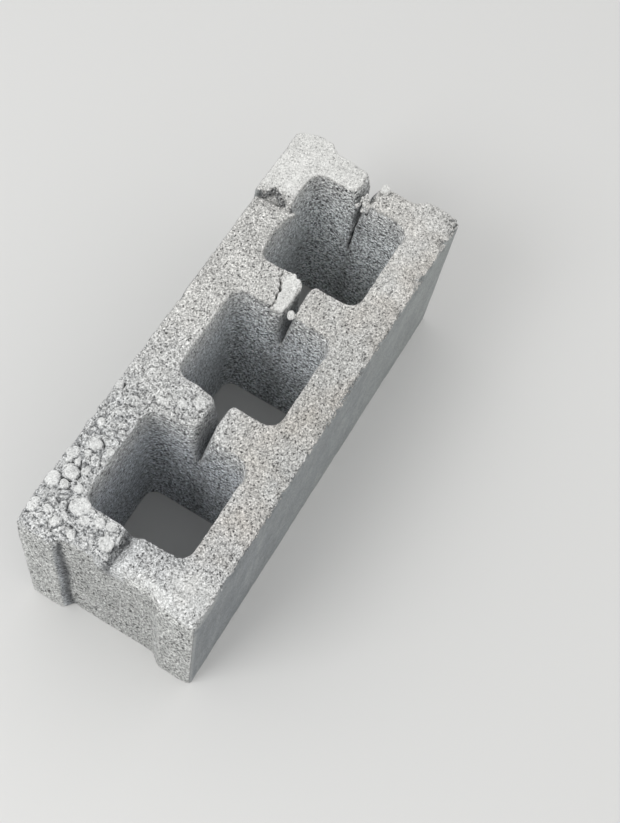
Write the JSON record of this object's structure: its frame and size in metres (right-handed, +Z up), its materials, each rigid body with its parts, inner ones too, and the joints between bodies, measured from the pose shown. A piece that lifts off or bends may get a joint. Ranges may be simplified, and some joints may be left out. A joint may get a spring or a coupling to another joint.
{
  "type": "hollow concrete block",
  "caption": "Hollow concrete building block with square open cores, recessed ends and a core-bar groove across its webs.",
  "frame": {"origin": "centre of the bed face that the block stands on", "axes": "+X along the block towards its worn end, +Y across it towards the cracked shell, +Z up towards the grooved face"},
  "size_m": [0.4, 0.15, 0.165],
  "materials": {
    "concrete": "matte, granular"
  },
  "bodies": {
    "root": {"concrete_block": "concrete"}
  },
  "joints": []
}
